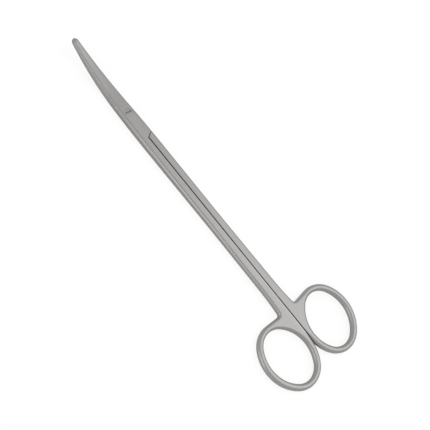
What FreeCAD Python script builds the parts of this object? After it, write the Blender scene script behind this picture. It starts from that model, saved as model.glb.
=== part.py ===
# Curved dissecting scissors, closed and lying flat, in millimetres.
# +X runs from the pivot to the blade tips, +Y is left seen from above and +Z is up.
# The origin is where the pivot axis meets the flat underside of the joint.
# Each half is one forging: finger ring, shank, lap-joint plate and blade.

import FreeCAD
import Part
import math
import os

from FreeCAD import Vector

# Thickness and rounding of the bar that the halves are forged from
joint_thickness = 3.8
ring_thickness = 3.0
edge_radius = 1.3
tip_edge_radius = 1.0

# Finger rings
ring_distance = 123.2
ring_spread = 13.6
opening_length = 26.2
opening_width = 20.8
ring_end_wall = 2.9
ring_side_wall = 3.2
ring_lean = 8.0
oval_join = 46.0

# Web between each ring and its shank
web_length = 30.3
web_flare_radius = 138.0
web_shoulder_slope = 4.9
crotch_radius = 1.3

# Shanks
seam_gap = 0.4
shank_width_at_web = 4.14
shank_width_at_waist = 3.78
shank_width_at_joint = 3.74
waist_distance = 62.0

# Lap joint
joint_back = 16.0
joint_front = 3.6
lap_gap = 0.05
shoulder_side_distance = 11.6
shoulder_seam_distance = 13.7
shoulder_gap = 0.25

# Blades
blade_reach = 39.0
nose_length = 2.0
curve_radius = 127.0
tip_half_width = 1.5
tip_half_thickness = 1.15
taper_power = 1.7
facet_lean = 20.0
facet_runout = 10.0
hollow_depth = 0.15
edge_land = 0.4

# Pivot screw
head_radius = 1.75
head_height = 1.1
head_crown = 0.08
slot_width = 0.55
slot_depth = 0.6
slot_turn = 6.7
neck_radius = 1.2
neck_clearance = 0.04
head_clearance = 0.04
seat_clearance = 0.03

# Numbers of sections that the swept bars and blades pass through
joint_section_count = 4
blade_section_count = 8
nose_section_count = 6
nose_last_angle = 84.0

# Angles of a whole turn, and of a ring's outward normal where it nears the other half
whole_turn = 360.0
seam_side_angle = 262.0

# How far a rounded side reaches into the plate that it borders
side_overlap = 0.1

# A length that clears the whole instrument in any direction
beyond = 400.0

middle = joint_thickness / 2
joint_half = joint_thickness / 2
ring_half = ring_thickness / 2
web_x = web_length - ring_distance
nose_start = blade_reach - nose_length


def smooth_step(share):
    """Rise from 0 to 1 that starts and ends level."""
    held = min(max(share, 0.0), 1.0)
    return held * held * (3.0 - 2.0 * held)


def blend(start, end, share):
    """Value that part of the way from start to end."""
    return start + (end - start) * share


def evenly(start, end, count):
    """Stations from start to end, both included."""
    return [blend(start, end, i / (count - 1)) for i in range(count)]


def line(p, q):
    """Straight edge."""
    return Part.LineSegment(p, q).toShape()


def arc(p, q, r):
    """Round edge from p through q to r."""
    return Part.Arc(p, q, r).toShape()


def half_oval(first, centre, outward, stops):
    """Parts of the half ellipse from one flat face of a bar, round its side, to the other face."""
    oval = Part.Ellipse(first, centre + outward, centre)
    return [
        Part.ArcOfEllipse(oval, low, high).toShape()
        for low, high in zip(stops, stops[1:])
    ]


def polygon_block(points, low, high):
    """Upright block over a polygon given as (x, y) pairs, from low to high."""
    corners = [Vector(x, y, low) for x, y in points]
    outline = Part.makePolygon(corners + corners[:1])
    return Part.Face(outline).extrude(Vector(0, 0, high - low))


def only_solid(shape):
    """The single solid of a finished boolean result."""
    return shape.removeSplitter().Solids[0]


# Shanks and joint: a bar with rounded outer edges, swept through sections


def bar_section(x, half_width, half_height):
    """Closed outline of both closed halves together at x: a rectangle with rounded corners."""
    corner = edge_radius * math.sqrt(0.5)
    flat = half_width - edge_radius
    wall = half_height - edge_radius
    corners = []
    for side_y, side_z in ((1, 1), (-1, 1), (-1, -1), (1, -1)):
        from_wall = Vector(x, side_y * half_width, middle + side_z * wall)
        bend = Vector(x, side_y * (flat + corner), middle + side_z * (wall + corner))
        to_flat = Vector(x, side_y * flat, middle + side_z * half_height)
        if side_y == side_z:
            corners.append((from_wall, bend, to_flat))
        else:
            corners.append((to_flat, bend, from_wall))
    edges = []
    for number, trio in enumerate(corners):
        edges.append(line(corners[number - 1][2], trio[0]))
        edges.append(arc(*trio))
    return Part.Wire(edges)


def shank_section(x, half_width):
    """Section of the bar between the web and the joint, where the thickness tapers evenly."""
    half_height = blend(ring_half, joint_half, (x - web_x) / (-joint_back - web_x))
    return bar_section(x, half_width, half_height)


def blade_half_width(distance):
    """Half width of joint and blades at a distance along the blades' middle line."""
    share = (distance + joint_back) / (nose_start + joint_back)
    return blend(shank_width_at_joint, tip_half_width, share ** taper_power)


def web_end_section():
    """Outline of both shanks where they meet the webs, with the webs' own half round sides."""
    up = Vector(0, 0, ring_half)
    left = Vector(web_x, shank_width_at_web - edge_radius, middle)
    right = Vector(web_x, -left.y, middle)
    outward = Vector(0, edge_radius, 0)
    wall = math.acos(1 - edge_radius / ring_half)
    stops = (0, wall, math.pi - wall, math.pi)
    left_low, left_wall, left_high = half_oval(left - up, left, outward, stops)
    return Part.Wire([
        left_wall,
        left_high,
        line(left + up, right + up),
        *half_oval(right + up, right, -outward, stops),
        line(right - up, left - up),
        left_low,
    ])


def shank_bar():
    """Both shanks as one bar, before the seam is cut: straight tapers that meet at the waist."""
    sections = [
        web_end_section(),
        shank_section(-waist_distance, shank_width_at_waist),
        shank_section(-joint_back, shank_width_at_joint),
    ]
    return Part.makeLoft(sections, True, True)


def joint_bar():
    """The lap joint as one bar of even thickness."""
    stations = evenly(-joint_back, joint_front, joint_section_count)
    sections = [bar_section(x, blade_half_width(x), joint_half) for x in stations]
    return Part.makeLoft(sections, True, True)


# Finger ring and web of the left half


ring_centre = Vector(-ring_distance, ring_spread, 0)
ring_along = Vector(math.cos(math.radians(ring_lean)), math.sin(math.radians(ring_lean)), 0)
ring_across = Vector(-ring_along.y, ring_along.x, 0)
opening_half_length = opening_length / 2
opening_half_width = opening_width / 2
ring_half_length = opening_half_length + ring_end_wall
ring_half_width = opening_half_width + ring_side_wall
first_join = ring_lean + oval_join


def oval_point(half_length, half_width, height, normal):
    """Point of a leaning four-arc oval where its outward normal has this angle, in degrees."""
    join = math.radians(oval_join)
    spread = (half_length - half_width) / (math.sin(join) + math.cos(join) - 1)
    turn = math.radians(normal - ring_lean)
    along = math.cos(turn)
    across = math.sin(turn)
    if abs(across) < math.sin(join):
        radius = half_length - spread * math.cos(join)
        centre = ring_along * math.copysign(spread * math.cos(join), along)
    else:
        radius = half_width + spread * math.sin(join)
        centre = ring_across * math.copysign(spread * math.sin(join), -across)
    reach = ring_along * along + ring_across * across
    return ring_centre + centre + reach * radius + Vector(0, 0, height)


def oval_edges(half_length, half_width, height, start, end):
    """Arcs of the oval between two angles of its outward normal, in degrees."""
    joins = [ring_lean + 180 * half + side * oval_join for half in range(3) for side in (-1, 1)]
    stops = [start] + [join for join in joins if start < join < end] + [end]
    edges = []
    for low, high in zip(stops, stops[1:]):
        trio = [
            oval_point(half_length, half_width, height, angle)
            for angle in (low, (low + high) / 2, high)
        ]
        edges.append(arc(*trio))
    return edges


def arc_about(centre, radius, first, last):
    """Round edge about a centre, from one direction to another less than half a turn away."""
    between = first + last
    half_way = between * (radius / between.Length)
    return arc(centre + first * radius, centre + half_way, centre + last * radius)


def on_circle(point, direction, centre, radius):
    """Where a line that starts inside this circle leaves it."""
    offset = point - centre
    half_b = offset.dot(direction)
    reach = math.sqrt(half_b ** 2 - offset.Length ** 2 + radius ** 2)
    return point + direction * (reach - half_b)


def outer_crest(height):
    """Line where the flat top ends: along the flare, round crotch and ring, and out at the seam."""
    half_length = ring_half_length - edge_radius
    half_width = ring_half_width - edge_radius
    rim = oval_edges(half_length, half_width, height, -web_shoulder_slope, seam_side_angle)
    rim_start = rim[0].Vertexes[0].Point
    slope = math.radians(web_shoulder_slope)
    ahead = Vector(math.cos(slope), -math.sin(slope), 0)
    to_shank = Vector(-math.sin(slope), -math.cos(slope), 0)
    bend_radius = crotch_radius + edge_radius
    flare_centre = Vector(web_x, shank_width_at_web + web_flare_radius, height)
    bend_centre = on_circle(
        rim_start + ahead * bend_radius, to_shank, flare_centre, web_flare_radius - crotch_radius
    )
    offset = bend_centre - flare_centre
    from_flare = offset * (1 / offset.Length)
    flare_radius = web_flare_radius + edge_radius
    rim_end = rim[-1].Vertexes[-1].Point
    last = math.radians(seam_side_angle)
    run_out = Vector(-math.sin(last), math.cos(last), 0)
    return [
        arc_about(flare_centre, flare_radius, Vector(0, -1, 0), from_flare),
        arc_about(bend_centre, bend_radius, from_flare, -ahead),
        line(bend_centre - ahead * bend_radius, rim_start),
        *rim,
        line(rim_end, rim_end - run_out * (rim_end.y / run_out.y)),
    ]


def opening_crest(height):
    """Line where the flat top ends round the finger opening."""
    half_length = opening_half_length + edge_radius
    half_width = opening_half_width + edge_radius
    return oval_edges(half_length, half_width, height, first_join, first_join + whole_turn)


def ring_blank():
    """Flat middle of the left ring and web between the crest lines, running past the seam."""
    low = middle - ring_half
    crest = outer_crest(low)
    start = crest[0].Vertexes[0].Point
    end = crest[-1].Vertexes[-1].Point
    back = Vector(end.x, -shank_width_at_web, low)
    front = Vector(web_x, -shank_width_at_web, low)
    outline = Part.Wire([*crest, line(end, back), line(back, front), line(front, start)])
    opening = Part.Wire(opening_crest(low))
    up = Vector(0, 0, ring_thickness)
    return Part.Face(outline).extrude(up).cut(Part.Face(opening).extrude(up))


def rounded_side(crest, outward):
    """Side of the plate, swept along its crest line: half an ellipse, and a tongue in the plate."""
    start = crest[0].Vertexes[0].Point
    up = Vector(0, 0, ring_half)
    tongue = -outward * side_overlap
    section = Part.Wire([
        *half_oval(start + up, start, outward * edge_radius, (0, math.pi)),
        line(start - up, start - up + tongue),
        line(start - up + tongue, start + up + tongue),
        line(start + up + tongue, start + up),
    ])
    return Part.Wire(crest).makePipeShell([section], True, False)


def ring_plate():
    """Left ring and web with rounded sides, cut off at the seam."""
    join = math.radians(first_join)
    into_opening = Vector(-math.cos(join), -math.sin(join), 0)
    outer_side = rounded_side(outer_crest(middle), Vector(0, 1, 0))
    opening_side = rounded_side(opening_crest(middle), into_opening)
    plate = ring_blank().fuse([outer_side, opening_side])
    return plate.common(left_of_seam())


def left_of_seam():
    """Everything on the left shank's side of the seam."""
    side = [(-beyond, seam_gap / 2), (beyond, seam_gap / 2), (beyond, beyond), (-beyond, beyond)]
    return polygon_block(side, -beyond, beyond)


# Lap joint


def behind_top_shoulder():
    """Room for the other half's shank, right of the seam and behind the shoulder."""
    outline = [
        (-beyond, seam_gap / 2),
        (-shoulder_seam_distance, seam_gap / 2),
        (-shoulder_side_distance, -shank_width_at_joint),
        (-shoulder_side_distance, -beyond),
        (-beyond, -beyond),
    ]
    return polygon_block(outline, -beyond, beyond)


def under_the_lap():
    """Room for the other half's plate, below the middle and ahead of the lower shoulder."""
    outline = [
        (-joint_back - shoulder_seam_distance, -beyond),
        (-joint_back - shoulder_seam_distance, seam_gap / 2),
        (-shoulder_seam_distance - shoulder_gap, seam_gap / 2),
        (-shoulder_side_distance - shoulder_gap, shank_width_at_joint),
        (-shoulder_side_distance - shoulder_gap, beyond),
        (beyond, beyond),
        (beyond, -beyond),
    ]
    return polygon_block(outline, -beyond, middle + lap_gap / 2)


def upper_handle():
    """Left ring, shank and upper joint plate as one solid."""
    bar = shank_bar().fuse(joint_bar())
    bar = bar.cut(behind_top_shoulder())
    handle = bar.fuse(ring_plate())
    return only_solid(handle.cut(under_the_lap()))


def turned_over(shape):
    """The same solid turned half round the instrument's long middle line."""
    copy = shape.copy()
    copy.rotate(Vector(0, 0, middle), Vector(1, 0, 0), 180)
    return copy


# Blades


def on_curve(distance, across, above, flip):
    """Point at a distance along the blades' middle line, across and above it."""
    angle = (distance - joint_front) / curve_radius
    x = joint_front + curve_radius * math.sin(angle) - flip * above * math.sin(angle)
    z = middle + curve_radius * (1 - math.cos(angle)) + flip * above * math.cos(angle)
    return Vector(x, flip * across, z)


def blade_section(distance, share, size, flip):
    """Closed outline of one blade. Flip is 1 for the upper blade and -1 for the lower."""
    half_width = blade_half_width(min(distance, nose_start))
    thickness = blend(joint_half, tip_half_thickness, share ** taper_power)
    radius = blend(edge_radius, tip_edge_radius, share ** taper_power)
    lean = math.radians(facet_lean) * smooth_step(share * (nose_start - joint_front) / facet_runout)
    depth = hollow_depth * math.sin(math.pi * share)
    inner = lap_gap / 2
    wall = thickness - radius
    ridge = half_width - (radius + wall * math.sin(lean)) / math.cos(lean)
    diagonal = radius * math.sqrt(0.5)
    half_way = (math.pi / 2 + lean) / 2
    edge_y = half_width - inner * math.tan(lean)

    def at(across, above):
        return on_curve(distance, size * across, inner + size * (above - inner), flip)

    spine_low = at(-half_width, inner)
    spine_high = at(-half_width, wall)
    spine_bend = at(radius - half_width - diagonal, wall + diagonal)
    top_right = at(radius - half_width, thickness)
    top_left = at(ridge, thickness)
    ridge_bend = at(ridge + radius * math.cos(half_way), wall + radius * math.sin(half_way))
    facet_high = at(ridge + radius * math.cos(lean), wall + radius * math.sin(lean))
    cutting_edge = at(edge_y, inner)
    hollow_left = at(edge_y - edge_land, inner)
    hollow_middle = at(0, inner + depth)
    hollow_right = at(edge_land - half_width, inner)
    if depth > hollow_depth / 100:
        hollow = arc(hollow_left, hollow_middle, hollow_right)
    else:
        hollow = line(hollow_left, hollow_right)
    return Part.Wire([
        line(spine_low, spine_high),
        arc(spine_high, spine_bend, top_right),
        line(top_right, top_left),
        arc(top_left, ridge_bend, facet_high),
        line(facet_high, cutting_edge),
        line(cutting_edge, hollow_left),
        hollow,
        line(hollow_right, spine_low),
    ])


def blade(flip):
    """One curved, hollow-ground blade with its blunt nose."""
    sections = []
    for share in evenly(0.0, 1.0, blade_section_count):
        distance = blend(joint_front, nose_start, share)
        sections.append(blade_section(distance, share, 1.0, flip))
    nose = []
    for angle in evenly(0.0, math.radians(nose_last_angle), nose_section_count):
        distance = nose_start + nose_length * math.sin(angle)
        nose.append(blade_section(distance, 1.0, math.cos(angle), flip))
    body = Part.makeLoft(sections, True, False)
    return body.fuse(Part.makeLoft(nose, True, False))


# Pivot screw and its seat


def upright_cylinder(radius, low, high):
    """Cylinder on the pivot axis."""
    return Part.makeCylinder(radius, high - low, Vector(0, 0, low))


seat_level = joint_thickness - head_height


def pivot_screw():
    """Slotted screw with a low domed head and a plain neck, threaded part left plain."""
    rim = joint_thickness - head_crown / 2
    crown = joint_thickness + head_crown / 2
    body = upright_cylinder(neck_radius, 0, rim)
    head = upright_cylinder(head_radius, seat_level + seat_clearance, rim)
    dome = Part.Face(Part.Wire([
        line(Vector(0, 0, rim), Vector(head_radius, 0, rim)),
        arc(
            Vector(head_radius, 0, rim),
            Vector(head_radius / 2, 0, blend(rim, crown, 0.75)),
            Vector(0, 0, crown),
        ),
        line(Vector(0, 0, crown), Vector(0, 0, rim)),
    ])).revolve(Vector(0, 0, 0), Vector(0, 0, 1), whole_turn)
    slot = Part.makeBox(
        slot_width, 2 * beyond, beyond, Vector(-slot_width / 2, -beyond, crown - slot_depth)
    )
    slot.rotate(Vector(0, 0, 0), Vector(0, 0, 1), -slot_turn)
    return only_solid(body.fuse(head).fuse(dome).cut(slot))


def upper_half():
    """Left ring, left shank, upper joint plate and upper blade."""
    half = upper_handle().fuse(blade(1))
    half = half.cut(upright_cylinder(neck_radius + neck_clearance, 0, beyond))
    half = half.cut(upright_cylinder(head_radius + head_clearance, seat_level, beyond))
    return only_solid(half)


def lower_half():
    """Right ring, right shank, lower joint plate and lower blade."""
    half = turned_over(upper_handle()).fuse(blade(-1))
    return only_solid(half.cut(upright_cylinder(neck_radius, -beyond, beyond)))


os.makedirs("parts", exist_ok=True)
pieces = {
    "upper_half": upper_half(),
    "lower_half": lower_half(),
    "pivot_screw": pivot_screw(),
}
for name, shape in pieces.items():
    shape.exportStep("parts/" + name + ".step")
    box = shape.BoundBox
    print(name, shape.isValid(), len(shape.Faces), round(shape.Volume, 2))
    print("  x", round(box.XMin, 3), round(box.XMax, 3), "y", round(box.YMin, 3), round(box.YMax, 3))
    print("  z", round(box.ZMin, 3), round(box.ZMax, 3))
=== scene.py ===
"""Looks of a pair of curved dissecting scissors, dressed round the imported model.

Lengths are in metres. +X runs from the pivot to the blade tips, +Y is left seen from
above and +Z is up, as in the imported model.
"""

import logging
import math
from dataclasses import dataclass, field
from enum import Enum
from typing import Callable

import bmesh
import bpy
from mathutils import Matrix, Vector


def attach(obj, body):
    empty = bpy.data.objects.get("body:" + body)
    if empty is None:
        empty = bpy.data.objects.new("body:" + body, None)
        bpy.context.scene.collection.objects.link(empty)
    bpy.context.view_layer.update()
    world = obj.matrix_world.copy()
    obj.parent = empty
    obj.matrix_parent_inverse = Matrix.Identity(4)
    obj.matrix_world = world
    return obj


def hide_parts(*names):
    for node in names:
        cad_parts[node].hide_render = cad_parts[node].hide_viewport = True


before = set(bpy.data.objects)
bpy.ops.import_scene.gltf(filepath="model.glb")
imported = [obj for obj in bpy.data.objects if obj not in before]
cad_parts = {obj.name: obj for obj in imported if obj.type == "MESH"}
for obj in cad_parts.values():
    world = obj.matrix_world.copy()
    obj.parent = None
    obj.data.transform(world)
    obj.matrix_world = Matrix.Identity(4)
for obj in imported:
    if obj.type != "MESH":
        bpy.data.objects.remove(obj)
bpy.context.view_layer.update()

log = logging.getLogger("scissors")

# Point attribute that tells the finishes where the edges are
EDGE_ATTRIBUTE = "edge_nearness"
MM = 0.001
# Edges that turn by more than this are hard, in degrees
HARD_ANGLE = 30.0
# Segments across each edge break
BREAK_SEGMENTS = 2
# How much the large faces rule the shading next to them
FLAT_WEIGHT = 80
# Faces with a normal higher than this look up
LOOKS_UP = 0.9
# How much brighter and smoother a fully polished edge is
POLISHED_TONE = 0.12
POLISHED_ROUGHNESS = -0.1
# Colour sockets of a Mix node
MIX_FIRST, MIX_SECOND, MIX_RESULT = 6, 7, 2


class Slot(Enum):
    """Material slots of the record."""

    SATIN = "satin_steel"
    SCREW = "screw_steel"


class Edge(Enum):
    """How wide each kind of edge is broken, in metres."""

    SEAM = 0.16 * MM
    OUTER = 0.07 * MM
    CUTTING = 0.02 * MM
    SCREW_SEAT = 0.0


# Mesh helpers


def clear_selection() -> None:
    """Leave nothing selected and no object in edit mode."""
    if bpy.context.object and bpy.context.object.mode != "OBJECT":
        bpy.ops.object.mode_set(mode="OBJECT")
    bpy.ops.object.select_all(action="DESELECT")


def make_active(piece: bpy.types.Object) -> None:
    """Select this piece alone.

    Args:
        piece: The object that the next operators work on.
    """
    clear_selection()
    piece.select_set(True)
    bpy.context.view_layer.objects.active = piece


def select_faces(piece: bpy.types.Object, wanted: Callable[[bmesh.types.BMFace], bool]) -> None:
    """Enter edit mode with only some faces selected.

    Args:
        piece: The object to edit.
        wanted: Tells whether a face is to be selected.
    """
    make_active(piece)
    bpy.ops.object.mode_set(mode="EDIT")
    bpy.ops.mesh.select_mode(type="FACE")
    bpy.ops.mesh.select_all(action="DESELECT")
    mesh = bmesh.from_edit_mesh(piece.data)
    for face in mesh.faces:
        face.select_set(wanted(face))
    mesh.select_flush_mode()
    bmesh.update_edit_mesh(piece.data)


def break_edges(piece: bpy.types.Object, width_of: Callable[[bmesh.types.BMEdge], float]) -> None:
    """Bevel the hard edges, each by its own width.

    Args:
        piece: The object to bevel.
        width_of: Gives the width of the break at an edge.
    """
    widest = max(edge.value for edge in Edge)
    mesh = bmesh.new()
    mesh.from_mesh(piece.data)
    weight = mesh.edges.layers.float.new("bevel_weight_edge")
    for edge in mesh.edges:
        hard = edge.is_manifold and edge.calc_face_angle() > math.radians(HARD_ANGLE)
        edge[weight] = width_of(edge) / widest if hard else 0.0
    mesh.to_mesh(piece.data)
    mesh.free()
    make_active(piece)
    bevel = piece.modifiers.new("edge_break", "BEVEL")
    bevel.width = widest
    bevel.segments = BREAK_SEGMENTS
    bevel.limit_method = "WEIGHT"
    bevel.use_clamp_overlap = False
    bpy.ops.object.modifier_apply(modifier=bevel.name)


def shade_flats_and_rounds(piece: bpy.types.Object, angle: float) -> None:
    """Shade rounded faces as one surface and keep the flats flat.

    Args:
        piece: The object to shade.
        angle: Faces that meet under this angle are shaded as one, in degrees.
    """
    make_active(piece)
    bpy.ops.object.shade_smooth_by_angle(angle=math.radians(angle))
    flats = piece.modifiers.new("flats", "WEIGHTED_NORMAL")
    flats.keep_sharp = True
    flats.weight = FLAT_WEIGHT
    bpy.ops.object.modifier_apply(modifier=flats.name)


# Shader helpers


def new_group(name: str, inputs: dict[str, float], outputs: tuple[str, ...]) -> bpy.types.NodeTree:
    """Start a shader node group with float sockets.

    Args:
        name: The group's name.
        inputs: Input names and their usual values.
        outputs: Output names.

    Returns:
        The group, with its input and output nodes inside.
    """
    tree = bpy.data.node_groups.new(name, "ShaderNodeTree")
    for label, value in inputs.items():
        socket = tree.interface.new_socket(name=label, in_out="INPUT", socket_type="NodeSocketFloat")
        socket.default_value = value
    for label in outputs:
        tree.interface.new_socket(name=label, in_out="OUTPUT", socket_type="NodeSocketFloat")
    tree.nodes.new("NodeGroupInput").name = "in"
    tree.nodes.new("NodeGroupOutput").name = "out"
    return tree


def math_node(tree: bpy.types.NodeTree, operation: str, *values: object) -> bpy.types.NodeSocket:
    """Add a Math node.

    Args:
        tree: The tree to add it to.
        operation: Blender's name of the operation.
        values: Numbers or sockets for its inputs.

    Returns:
        The node's output socket.
    """
    node = tree.nodes.new("ShaderNodeMath")
    node.operation = operation
    for socket, value in zip(node.inputs, values):
        if isinstance(value, bpy.types.NodeSocket):
            tree.links.new(value, socket)
        else:
            socket.default_value = value
    return node.outputs[0]


def stretched_noise(
    tree: bpy.types.NodeTree, sizes: tuple[object, object, object], detail: float
) -> bpy.types.NodeSocket:
    """Noise on the object's own coordinates, with a grain size of its own along each axis.

    Args:
        tree: The tree to add it to.
        sizes: Grain sizes along X, Y and Z, as numbers or sockets.
        detail: How many finer octaves the noise has.

    Returns:
        The noise value, about 0.5 on average.
    """
    place = tree.nodes.new("ShaderNodeTexCoord")
    size = tree.nodes.new("ShaderNodeCombineXYZ")
    for socket, value in zip(size.inputs, sizes):
        if isinstance(value, bpy.types.NodeSocket):
            tree.links.new(value, socket)
        else:
            socket.default_value = value
    divide = tree.nodes.new("ShaderNodeVectorMath")
    divide.operation = "DIVIDE"
    tree.links.new(place.outputs["Object"], divide.inputs[0])
    tree.links.new(size.outputs[0], divide.inputs[1])
    noise = tree.nodes.new("ShaderNodeTexNoise")
    noise.inputs["Scale"].default_value = 1.0
    noise.inputs["Detail"].default_value = detail
    tree.links.new(divide.outputs[0], noise.inputs["Vector"])
    return noise.outputs["Fac"]


def grinding_lines_group() -> bpy.types.NodeTree:
    """Fine parallel lines that a belt or wheel leaves, over a faint cloudiness.

    Returns:
        The group, with the outputs Lines and Clouds.
    """
    tree = new_group(
        "grinding_lines",
        {"Length X": 8 * MM, "Length Y": 0.12 * MM, "Length Z": 0.12 * MM, "Cloud Size": 9 * MM},
        ("Lines", "Clouds"),
    )
    given = tree.nodes["in"].outputs
    lines = stretched_noise(tree, (given["Length X"], given["Length Y"], given["Length Z"]), 3.0)
    clouds = stretched_noise(tree, (given["Cloud Size"],) * 3, 2.0)
    tree.links.new(lines, tree.nodes["out"].inputs["Lines"])
    tree.links.new(clouds, tree.nodes["out"].inputs["Clouds"])
    return tree


def blasted_grain_group() -> bpy.types.NodeTree:
    """Even fine grain of a surface blasted with small beads.

    Returns:
        The group, with the output Grain.
    """
    tree = new_group("blasted_grain", {"Grain Size": 0.09 * MM}, ("Grain",))
    size = tree.nodes["in"].outputs["Grain Size"]
    tree.links.new(stretched_noise(tree, (size,) * 3, 1.5), tree.nodes["out"].inputs["Grain"])
    return tree


def edge_polish_group() -> bpy.types.NodeTree:
    """Where handling has polished the edges, from the mesh's own edge attribute.

    Returns:
        The group, with the output Polish.
    """
    tree = new_group("edge_polish", {"Amount": 0.6, "Patch Size": 1.2 * MM}, ("Polish",))
    given = tree.nodes["in"].outputs
    edge = tree.nodes.new("ShaderNodeAttribute")
    edge.attribute_name = EDGE_ATTRIBUTE
    patches = stretched_noise(tree, (given["Patch Size"],) * 3, 2.0)
    contrast, least = 0.8, 0.6
    uneven = math_node(tree, "MULTIPLY_ADD", patches, contrast, least)
    polish = math_node(tree, "MULTIPLY", edge.outputs["Fac"], given["Amount"])
    tree.links.new(math_node(tree, "MULTIPLY", polish, uneven), tree.nodes["out"].inputs["Polish"])
    return tree


@dataclass(frozen=True)
class SteelFinish:
    """A finish of stainless steel.

    Attributes:
        name: The material's name.
        colour: Reflected colour of the metal.
        roughness: Average roughness.
        roughness_spread: How much the lines and grain change the roughness.
        line_size: Size of the grinding lines along X, Y and Z.
        line_depth: Height of the grinding lines.
        grain_depth: Height of the blasted grain.
        tone_spread: How much the lines and clouds change the colour.
        polish: How much brighter and smoother the edges are.
    """

    name: str
    colour: tuple[float, float, float]
    roughness: float
    roughness_spread: float
    line_size: tuple[float, float, float]
    line_depth: float
    grain_depth: float
    tone_spread: float
    polish: float

    def build(self, groups: dict[str, bpy.types.NodeTree]) -> bpy.types.Material:
        """Make the material.

        Args:
            groups: The shared node groups by name.

        Returns:
            The finished material.
        """
        material = bpy.data.materials.new(self.name)
        material.use_nodes = True
        tree = material.node_tree
        shader = tree.nodes["Principled BSDF"]
        shader.inputs["Metallic"].default_value = 1.0
        lines = self._group(tree, groups["grinding_lines"])
        for label, size in zip(("Length X", "Length Y", "Length Z"), self.line_size):
            lines.inputs[label].default_value = size
        grain = self._group(tree, groups["blasted_grain"])
        polish = self._group(tree, groups["edge_polish"])
        polish.inputs["Amount"].default_value = self.polish
        self._colour(tree, shader, lines, polish)
        self._roughness(tree, shader, lines, grain, polish)
        self._bumps(tree, shader, lines, grain)
        return material

    @staticmethod
    def _group(tree: bpy.types.NodeTree, group: bpy.types.NodeTree) -> bpy.types.Node:
        """Place a shared group in this material.

        Args:
            tree: The material's tree.
            group: The group.

        Returns:
            The node that holds it.
        """
        node = tree.nodes.new("ShaderNodeGroup")
        node.node_tree = group
        return node

    def _colour(
        self, tree: bpy.types.NodeTree, shader: bpy.types.Node, lines: bpy.types.Node, polish: bpy.types.Node
    ) -> None:
        """Base colour, a little uneven along the lines and brighter at polished edges.

        Args:
            tree: The material's tree.
            shader: The shader that takes the colour.
            lines: The node of the grinding lines.
            polish: The node of the polished edges.
        """
        both = math_node(tree, "ADD", lines.outputs["Lines"], lines.outputs["Clouds"])
        uneven = math_node(tree, "MULTIPLY_ADD", both, self.tone_spread, 1.0 - self.tone_spread)
        tone = math_node(tree, "MULTIPLY_ADD", polish.outputs["Polish"], POLISHED_TONE, uneven)
        toned = tree.nodes.new("ShaderNodeVectorMath")
        toned.operation = "SCALE"
        toned.inputs[0].default_value = self.colour
        tree.links.new(tone, toned.inputs["Scale"])
        tree.links.new(toned.outputs[0], shader.inputs["Base Color"])

    def _roughness(
        self,
        tree: bpy.types.NodeTree,
        shader: bpy.types.Node,
        lines: bpy.types.Node,
        grain: bpy.types.Node,
        polish: bpy.types.Node,
    ) -> None:
        """Roughness that follows the lines and the grain.

        Args:
            tree: The material's tree.
            shader: The shader that takes the roughness.
            lines: The node of the grinding lines.
            grain: The node of the blasted grain.
            polish: The node of the polished edges.
        """
        both = math_node(tree, "ADD", lines.outputs["Lines"], grain.outputs["Grain"])
        least = self.roughness - self.roughness_spread
        uneven = math_node(tree, "MULTIPLY_ADD", both, self.roughness_spread, least)
        smoother = math_node(tree, "MULTIPLY_ADD", polish.outputs["Polish"], POLISHED_ROUGHNESS, uneven)
        tree.links.new(smoother, shader.inputs["Roughness"])

    def _bumps(
        self, tree: bpy.types.NodeTree, shader: bpy.types.Node, lines: bpy.types.Node, grain: bpy.types.Node
    ) -> None:
        """Height of the lines and the grain.

        Args:
            tree: The material's tree.
            shader: The shader that takes the bumps.
            lines: The node of the grinding lines.
            grain: The node of the blasted grain.
        """
        deep = math_node(tree, "MULTIPLY", lines.outputs["Lines"], self.line_depth)
        height = math_node(tree, "MULTIPLY_ADD", grain.outputs["Grain"], self.grain_depth, deep)
        bump = tree.nodes.new("ShaderNodeBump")
        bump.inputs["Distance"].default_value = 1.0
        tree.links.new(height, bump.inputs["Height"])
        tree.links.new(bump.outputs[0], shader.inputs["Normal"])


SATIN = SteelFinish(
    name="satin_steel",
    colour=(0.597, 0.590, 0.582),
    roughness=0.36,
    roughness_spread=0.05,
    line_size=(6 * MM, 0.16 * MM, 0.16 * MM),
    line_depth=0.0005 * MM,
    grain_depth=0.0008 * MM,
    tone_spread=0.035,
    polish=0.7,
)

GROUND = SteelFinish(
    name="ground_steel",
    colour=(0.615, 0.61, 0.60),
    roughness=0.28,
    roughness_spread=0.14,
    line_size=(0.07 * MM, 5 * MM, 5 * MM),
    line_depth=0.0012 * MM,
    grain_depth=0.0002 * MM,
    tone_spread=0.10,
    polish=0.3,
)

TURNED = SteelFinish(
    name="turned_steel",
    colour=(0.597, 0.590, 0.582),
    roughness=0.34,
    roughness_spread=0.10,
    line_size=(0.3 * MM, 0.3 * MM, 0.05 * MM),
    line_depth=0.0006 * MM,
    grain_depth=0.0008 * MM,
    tone_spread=0.06,
    polish=0.3,
)

# Milled finish of the slot: its darker colour is partly the milled steel and partly painted shade in the
# recess
MILLED_WITH_PAINTED_SHADE = SteelFinish(
    name="milled_slot_steel_painted_shade",
    colour=(0.48, 0.46, 0.42),
    roughness=0.50,
    roughness_spread=0.10,
    line_size=(0.05 * MM, 0.4 * MM, 0.05 * MM),
    line_depth=0.0015 * MM,
    grain_depth=0.0010 * MM,
    tone_spread=0.20,
    polish=0.2,
)


# Pieces


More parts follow.
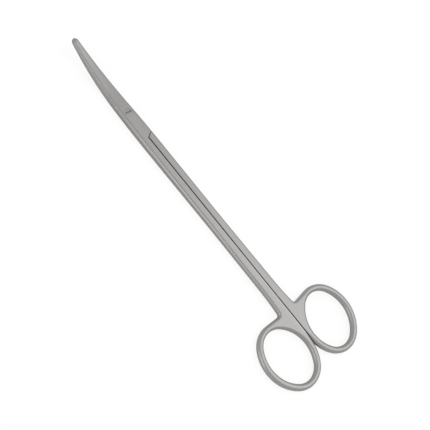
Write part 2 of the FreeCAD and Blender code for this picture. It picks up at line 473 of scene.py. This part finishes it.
@dataclass
class ForgedHalf:
    """One half of the scissors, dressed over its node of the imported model.

    Attributes:
        node: The node that this piece stands for.
        body: The body that it rides on.
        inner_side: -1 where the half's lap face looks down, 1 where it looks up.
        merge_distance: Points nearer than this are one point.
        flat_angle: Faces that meet under this angle become one face, in degrees.
        smooth_angle: Faces that meet under this angle are shaded as one, in degrees.
        seam_gap: Gap between the two shanks.
        seam_end: How far behind the pivot the seam ends.
        blade_start: Where the cutting edges start.
        seat_radius: Radius round the pivot inside which the screw sits.
        lap_start: How far behind the pivot the ground lap face starts.
        lap_level: Height of the lap face at the pivot.
        curve_start: Where the blades start to curve.
        curve_radius: Radius of their curve.
        seam_margin: How far from the gap's walls a seam edge may lie.
        edge_margin: How far from the lap face a cutting edge may lie.
        face_margin: How far from the lap face a ground face may lie.
        faces_lap: Faces with a normal nearer to the lap direction than this may be ground.
    """

    node: str
    body: str
    inner_side: int
    merge_distance: float = 0.001 * MM
    flat_angle: float = 0.3
    smooth_angle: float = 24.0
    seam_gap: float = 0.4 * MM
    seam_end: float = -13.0 * MM
    blade_start: float = 6.0 * MM
    seat_radius: float = 1.9 * MM
    lap_start: float = -14.5 * MM
    lap_level: float = 1.9 * MM
    curve_start: float = 3.6 * MM
    curve_radius: float = 127 * MM
    seam_margin: float = 0.01 * MM
    edge_margin: float = 0.3 * MM
    face_margin: float = 0.4 * MM
    faces_lap: float = 0.8

    def build(self, finishes: dict[str, bpy.types.Material]) -> bpy.types.Object:
        """Make the piece.

        Args:
            finishes: The materials by name.

        Returns:
            The finished piece, riding on its body.
        """
        piece = self._merged_copy()
        break_edges(piece, self._edge_break)
        shade_flats_and_rounds(piece, self.smooth_angle)
        self._store_edges(piece)
        self._dress(piece, finishes)
        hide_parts(self.node)
        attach(piece, self.body)
        log.info("%s: %d faces on body %s", piece.name, len(piece.data.polygons), self.body)
        return piece

    def _merged_copy(self) -> bpy.types.Object:
        """Copy the node's mesh and join its loose triangles into whole faces.

        Returns:
            The copy, with its edges still sharp.
        """
        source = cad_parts[self.node]
        piece = bpy.data.objects.new(self.node + "_forging", source.data.copy())
        bpy.context.scene.collection.objects.link(piece)
        piece.data.materials.clear()
        make_active(piece)
        bpy.ops.mesh.customdata_custom_splitnormals_clear()
        bpy.ops.object.mode_set(mode="EDIT")
        bpy.ops.mesh.select_all(action="SELECT")
        bpy.ops.mesh.remove_doubles(threshold=self.merge_distance)
        bpy.ops.mesh.dissolve_limited(angle_limit=math.radians(self.flat_angle), delimit={"NORMAL"})
        bpy.ops.object.mode_set(mode="OBJECT")
        return piece

    def _edge_break(self, edge: bmesh.types.BMEdge) -> float:
        """Width of the break at one hard edge.

        Args:
            edge: The edge.

        Returns:
            The width in metres.
        """
        middle = (edge.verts[0].co + edge.verts[1].co) / 2
        seat = math.hypot(middle.x, middle.y) < self.seat_radius
        by_gap = abs(abs(middle.y) - self.seam_gap / 2) < self.seam_margin
        by_lap = abs(middle.z - self._lap_height(middle.x)) < self.edge_margin
        if seat:
            return Edge.SCREW_SEAT.value
        if by_gap and middle.x < self.seam_end:
            return Edge.SEAM.value
        if by_lap and middle.x > self.blade_start:
            return Edge.CUTTING.value
        return Edge.OUTER.value

    @staticmethod
    def _store_edges(piece: bpy.types.Object) -> None:
        """Store which points lie on a hard edge.

        Args:
            piece: The piece, already shaded.
        """
        mesh = piece.data
        near = [0.0] * len(mesh.vertices)
        for edge in mesh.edges:
            if edge.use_edge_sharp:
                for index in edge.vertices:
                    near[index] = 1.0
        layer = mesh.attributes.new(EDGE_ATTRIBUTE, "FLOAT", "POINT")
        layer.data.foreach_set("value", near)

    def _dress(self, piece: bpy.types.Object, finishes: dict[str, bpy.types.Material]) -> None:
        """Give it satin outside, and ground steel where the two halves face each other.

        Args:
            piece: The piece.
            finishes: The materials by name.
        """
        piece.data.materials.append(finishes[SATIN.name])
        piece.data.materials.append(finishes[GROUND.name])
        for face in piece.data.polygons:
            inward = face.normal.z * self.inner_side > self.faces_lap
            ahead = face.center.x > self.lap_start
            close = abs(face.center.z - self._lap_height(face.center.x)) < self.face_margin
            face.material_index = 1 if inward and ahead and close else 0

    def _lap_height(self, x: float) -> float:
        """Height of the middle surface between the halves at x."""
        ahead = max(0.0, x - self.curve_start)
        return self.lap_level + self.curve_radius - math.sqrt(self.curve_radius ** 2 - ahead ** 2)


@dataclass
class PivotScrew:
    """The slotted screw that holds the halves together.

    Attributes:
        node: The node that this piece stands for.
        body: The body that it rides on.
        sides: How many sides its rounds have.
        neck_radius: Radius of the plain neck.
        head_radius: Radius of the head.
        head_level: Height of the head's underside.
        rim_level: Height of the head's rim.
        crown: How far the head's middle stands above its rim.
        dome_rings: Share of the head's radius at each ring of its dome.
        slot_width: Width of the slot.
        slot_depth: Depth of the slot below the head's middle.
        slot_turn: Slot's turn from straight across, in degrees.
        edge_break: Width of the flare along the slot and of the break at the neck's end.
        smooth_angle: Faces that meet under this angle are shaded as one, in degrees.
        margin: How far off its level or wall a face or edge may lie.
    """

    node: str = "pivot_screw"
    body: str = "lower"
    sides: int = 96
    neck_radius: float = 1.2 * MM
    head_radius: float = 1.75 * MM
    head_level: float = 2.73 * MM
    rim_level: float = 3.76 * MM
    crown: float = 0.04 * MM
    dome_rings: tuple[float, ...] = (0.85, 0.65, 0.45, 0.25)
    slot_width: float = 0.45 * MM
    slot_depth: float = 0.5 * MM
    slot_turn: float = 6.7
    edge_break: float = 0.05 * MM
    smooth_angle: float = 30.0
    margin: float = 0.01 * MM

    def build(self, finishes: dict[str, bpy.types.Material]) -> bpy.types.Object:
        """Make the screw.

        Args:
            finishes: The materials by name.

        Returns:
            The finished screw, riding on its body.
        """
        screw = self._turned_body()
        self._raise_dome(screw)
        self._mill_slot(screw)
        break_edges(screw, self._edge_width)
        shade_flats_and_rounds(screw, self.smooth_angle)
        self._dress(screw, finishes)
        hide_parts(self.node)
        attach(screw, self.body)
        log.info("%s: %d faces on body %s", screw.name, len(screw.data.polygons), self.body)
        return screw

    def _turned_body(self) -> bpy.types.Object:
        """Turn neck and head as one shape with a flat top.

        Returns:
            The screw, without its dome and slot.
        """
        clear_selection()
        bpy.ops.mesh.primitive_cylinder_add(
            vertices=self.sides,
            radius=self.neck_radius,
            depth=self.head_level,
            location=(0, 0, self.head_level / 2),
        )
        screw = bpy.context.object
        screw.name = "slotted_screw"
        bpy.ops.object.transform_apply(location=True, rotation=True, scale=True)
        select_faces(screw, lambda face: face.normal.z > LOOKS_UP)
        bpy.ops.mesh.extrude_region_move(TRANSFORM_OT_translate={"value": (0, 0, 0)})
        self._widen(self.head_radius / self.neck_radius)
        bpy.ops.mesh.extrude_region_move(
            TRANSFORM_OT_translate={"value": (0, 0, self.rim_level - self.head_level)}
        )
        bpy.ops.object.mode_set(mode="OBJECT")
        return screw

    @staticmethod
    def _widen(share: float) -> None:
        """Scale what is selected about the pivot axis."""
        bpy.ops.transform.resize(value=(share, share, 1), center_override=(0, 0, 0))

    def _raise_dome(self, screw: bpy.types.Object) -> None:
        """Raise the head's top, ring by ring, into a low dome.

        Args:
            screw: The screw.
        """
        lowest = self.rim_level - self.margin
        select_faces(screw, lambda face: face.normal.z > LOOKS_UP and face.calc_center_median().z > lowest)
        reached, level = 1.0, 0.0
        for share in self.dome_rings:
            height = self.crown * (1 - share ** 2)
            bpy.ops.mesh.extrude_region_move(TRANSFORM_OT_translate={"value": (0, 0, height - level)})
            self._widen(share / reached)
            reached, level = share, height
        bpy.ops.mesh.poke(offset=self.crown - level)
        bpy.ops.object.mode_set(mode="OBJECT")

    def _mill_slot(self, screw: bpy.types.Object) -> None:
        """Cut the slot across the head, with a small flare along its top.

        Args:
            screw: The screw.
        """
        flare_foot = self.rim_level - self.edge_break
        floor = self.rim_level + self.crown - self.slot_depth
        clear_selection()
        bpy.ops.mesh.primitive_cube_add(size=1)
        cutter = bpy.context.object
        right_across = 4 * self.head_radius
        cutter.dimensions = (self.slot_width, right_across, flare_foot - floor)
        cutter.location = (0, 0, (flare_foot + floor) / 2)
        bpy.ops.object.transform_apply(location=True, rotation=True, scale=True)
        select_faces(cutter, lambda face: face.normal.z > LOOKS_UP)
        rise = 3 * self.edge_break  # ends above the dome
        bpy.ops.mesh.extrude_region_move(TRANSFORM_OT_translate={"value": (0, 0, rise)})
        wider = 1 + 2 * rise / self.slot_width
        bpy.ops.transform.resize(value=(wider, 1, 1), center_override=(0, 0, 0))
        bpy.ops.object.mode_set(mode="OBJECT")
        cutter.rotation_euler = (0, 0, -math.radians(self.slot_turn))
        make_active(cutter)
        bpy.ops.object.transform_apply(location=True, rotation=True, scale=True)
        make_active(screw)
        cut = screw.modifiers.new("slot", "BOOLEAN")
        cut.operation = "DIFFERENCE"
        cut.solver = "EXACT"
        cut.object = cutter
        bpy.ops.object.modifier_apply(modifier=cut.name)
        bpy.data.objects.remove(cutter)

    def _edge_width(self, edge: bmesh.types.BMEdge) -> float:
        """Break the neck's end, and leave the rest as it is cut."""
        return self.edge_break if max(end.co.z for end in edge.verts) < self.margin else 0.0

    def _inside_slot(self, place: Vector, margin: float) -> bool:
        """Whether a place lies between the slot's walls, seen from above.

        Args:
            place: The place.
            margin: How far outside the walls it may lie.

        Returns:
            True where it does.
        """
        turn = math.radians(self.slot_turn)
        across = place.x * math.cos(turn) - place.y * math.sin(turn)
        return abs(across) < self.slot_width / 2 + margin

    def _dress(self, screw: bpy.types.Object, finishes: dict[str, bpy.types.Material]) -> None:
        """Give it a turned finish outside, and in the slot a milled finish whose darker colour is partly
        painted shade.

        Args:
            screw: The screw.
            finishes: The materials by name.
        """
        screw.data.materials.clear()
        screw.data.materials.append(finishes[TURNED.name])
        screw.data.materials.append(finishes[MILLED_WITH_PAINTED_SHADE.name])
        floor = self.rim_level + self.crown - self.slot_depth
        for face in screw.data.polygons:
            low = floor - self.margin < face.center.z < self.rim_level - self.edge_break
            # Slot faces take the milled finish, darkened with painted shade
            in_slot = low and self._inside_slot(face.center, 2 * self.margin)
            face.material_index = 1 if in_slot else 0
        layer = screw.data.attributes.new(EDGE_ATTRIBUTE, "FLOAT", "POINT")
        layer.data.foreach_set("value", [0.0] * len(screw.data.vertices))


# Studio


@dataclass(frozen=True)
class Softbox:
    """A soft square light that faces the instrument.

    Attributes:
        name: The light's name.
        across: Angle from straight up towards the instrument's right side, in degrees.
        along: Angle from straight up towards the rings, in degrees.
        distance: How far it hangs from its aim.
        size: Its width and height.
        power: Its power in watts.
    """

    name: str
    across: float
    along: float
    distance: float
    size: tuple[float, float]
    power: float

    def build(self, aim: Vector) -> None:
        """Hang the light.

        Args:
            aim: The point that it faces.
        """
        light = bpy.data.lights.new(self.name, "AREA")
        light.shape = "RECTANGLE"
        light.size, light.size_y = self.size
        light.energy = self.power
        holder = bpy.data.objects.new(self.name, light)
        bpy.context.scene.collection.objects.link(holder)
        side = math.tan(math.radians(self.across))
        back = math.tan(math.radians(self.along))
        direction = Vector((-back, -side, 1.0)).normalized()
        holder.location = aim + direction * self.distance
        holder.rotation_euler = direction.to_track_quat("Z", "Y").to_euler()


@dataclass
class PaleFloor:
    """A plain pale floor that looks nearly white to the camera.

    Attributes:
        size: Its side.
        level: Its height.
        seen: Share of the light that it returns to the camera.
        thrown: Colour that it throws on the steel, a little warm.
        glow: Brightness that it has to the camera without any light.
        roughness: Its roughness.
    """

    size: float = 6.0
    level: float = -0.02 * MM
    seen: float = 0.30
    thrown: tuple[float, float, float] = (0.92, 0.90, 0.86)
    glow: float = 0.84
    roughness: float = 0.9

    def build(self) -> None:
        """Lay the floor."""
        clear_selection()
        bpy.ops.mesh.primitive_plane_add(size=self.size, location=(0, 0, self.level))
        floor = bpy.context.object
        floor.name = "floor"
        material = bpy.data.materials.new("pale_floor")
        material.use_nodes = True
        tree = material.node_tree
        shader = tree.nodes["Principled BSDF"]
        shader.inputs["Roughness"].default_value = self.roughness
        shader.inputs["Specular IOR Level"].default_value = 0.0
        ray = tree.nodes.new("ShaderNodeLightPath")
        to_camera = ray.outputs["Is Camera Ray"]
        tone = tree.nodes.new("ShaderNodeMix")
        tone.data_type = "RGBA"
        tone.inputs[MIX_FIRST].default_value = (*self.thrown, 1.0)
        tone.inputs[MIX_SECOND].default_value = (self.seen, self.seen, self.seen, 1.0)
        tree.links.new(to_camera, tone.inputs[0])
        tree.links.new(tone.outputs[MIX_RESULT], shader.inputs["Base Color"])
        glow = math_node(tree, "MULTIPLY", to_camera, self.glow)
        shader.inputs["Emission Color"].default_value = (1.0, 1.0, 1.0, 1.0)
        tree.links.new(glow, shader.inputs["Emission Strength"])
        floor.data.materials.append(material)


@dataclass
class Studio:
    """Floor, soft lights and the photograph's camera.

    Attributes:
        aim: Where the camera's axis meets the instrument.
        tilt: Camera's angle from straight up towards the instrument's left side, in degrees.
        distance: Camera's distance from its aim.
        tip_direction: Right and up parts of the way to the tips in the picture.
        lens: Focal length, in millimetres.
        frame_width: Width of the camera's frame, in millimetres.
        surround: Brightness of the room round the lights.
        backdrop: Brightness of the room where the camera sees it.
        softboxes: The lights.
    """

    aim: Vector = field(default_factory=lambda: Vector((-57.38, -1.65, 2.93)) * MM)
    tilt: float = 32.0
    distance: float = 0.45
    tip_direction: tuple[float, float] = (-0.63128, 0.77557)
    lens: float = 88.08
    frame_width: float = 36.0
    surround: float = 0.462
    backdrop: float = 0.98
    softboxes: tuple[Softbox, ...] = (
        Softbox("ring_side_key", 27, 27, 0.9, (0.7, 0.7), 0.75),
        Softbox("right_key", 35, 5, 0.9, (0.7, 0.7), 0.13),
        Softbox("left_fill", -62, -15, 0.22, (0.12, 0.12), 0.036),
    )

    def build(self) -> None:
        """Set up floor, lights, room and camera."""
        PaleFloor().build()
        for softbox in self.softboxes:
            softbox.build(self.aim)
        self._room()
        bpy.context.scene.view_settings.view_transform = "Standard"
        self._camera()

    def _room(self) -> None:
        """Surround everything with even light, white where the camera looks past the floor."""
        world = bpy.data.worlds.new("room")
        world.use_nodes = True
        tree = world.node_tree
        background = tree.nodes["Background"]
        background.inputs["Color"].default_value = (1, 1, 1, 1)
        to_camera = tree.nodes.new("ShaderNodeLightPath").outputs["Is Camera Ray"]
        strength = math_node(tree, "MULTIPLY_ADD", to_camera, self.backdrop - self.surround, self.surround)
        tree.links.new(strength, background.inputs["Strength"])
        bpy.context.scene.world = world

    def _camera(self) -> None:
        """Place the camera so that the tips point up and left, as in the photograph."""
        tilt = math.radians(self.tilt)
        back = Vector((0, math.sin(tilt), math.cos(tilt)))
        left = Vector((0, math.cos(tilt), -math.sin(tilt)))
        tipward = Vector((1, 0, 0))
        right_part, up_part = self.tip_direction
        right = right_part * tipward - up_part * left
        up = up_part * tipward + right_part * left
        place = self.aim + back * self.distance
        camera = bpy.data.cameras.new("photo_camera")
        camera.lens = self.lens
        camera.sensor_width = self.frame_width
        holder = bpy.data.objects.new("photo_camera", camera)
        bpy.context.scene.collection.objects.link(holder)
        holder.matrix_world = Matrix.Translation(place) @ Matrix((right, up, back)).transposed().to_4x4()
        bpy.context.scene.camera = holder


def main() -> None:
    """Build the pieces in order, then the studio."""
    logging.basicConfig(level=logging.INFO, format="%(name)s: %(message)s")
    groups = {
        "grinding_lines": grinding_lines_group(),
        "blasted_grain": blasted_grain_group(),
        "edge_polish": edge_polish_group(),
    }
    finishes = {finish.name: finish.build(groups) for finish in (SATIN, GROUND, TURNED, MILLED_WITH_PAINTED_SHADE)}
    ForgedHalf("upper_half", "upper", -1).build(finishes)
    ForgedHalf("lower_half", "lower", 1).build(finishes)
    PivotScrew().build(finishes)
    Studio().build()


if __name__ == "__main__":
    main()
